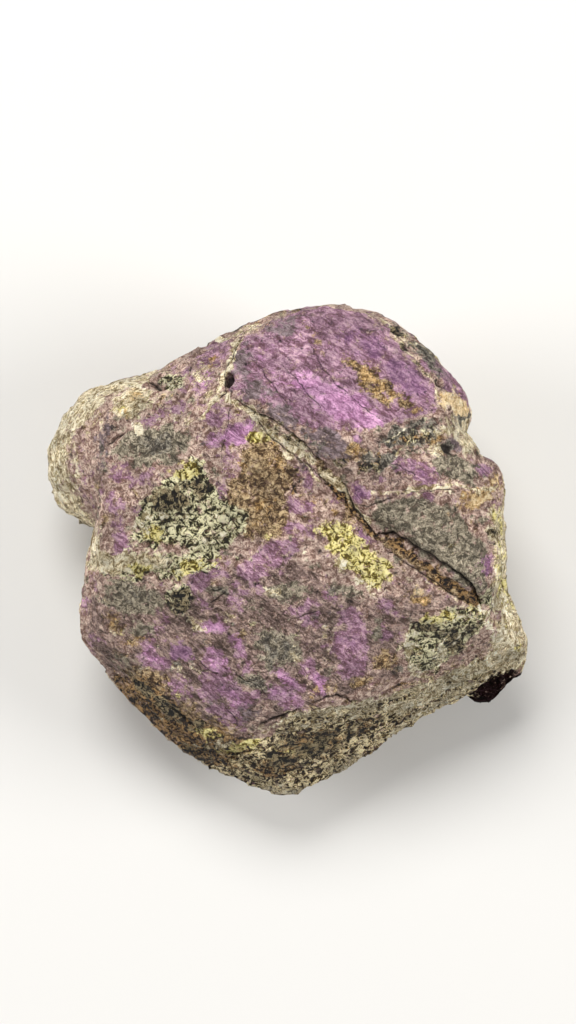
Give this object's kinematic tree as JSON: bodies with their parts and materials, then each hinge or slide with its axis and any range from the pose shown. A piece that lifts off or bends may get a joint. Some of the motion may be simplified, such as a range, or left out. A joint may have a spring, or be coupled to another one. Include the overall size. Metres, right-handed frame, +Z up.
{
  "type": "purpurite",
  "caption": "Rough purpurite specimen: a blunt weathered stone with a purple face, a ledge across it and crumbly pale edges, lying on its back.",
  "frame": {"origin": "on the surface that the stone lies on, under the middle of its footprint", "axes": "+Z up, out of the purple face that the picture shows; +Y towards the purple block at the picture's top; +X towards the picture's right"},
  "size_m": [0.0402, 0.0412, 0.0216],
  "materials": {
    "purpurite_rock": "dull to waxy broken rock: violet faces, grey-brown and green-black grains, cream crumbly edges"
  },
  "bodies": {
    "root": {"purpurite_stone": "purpurite_rock"}
  },
  "joints": []
}
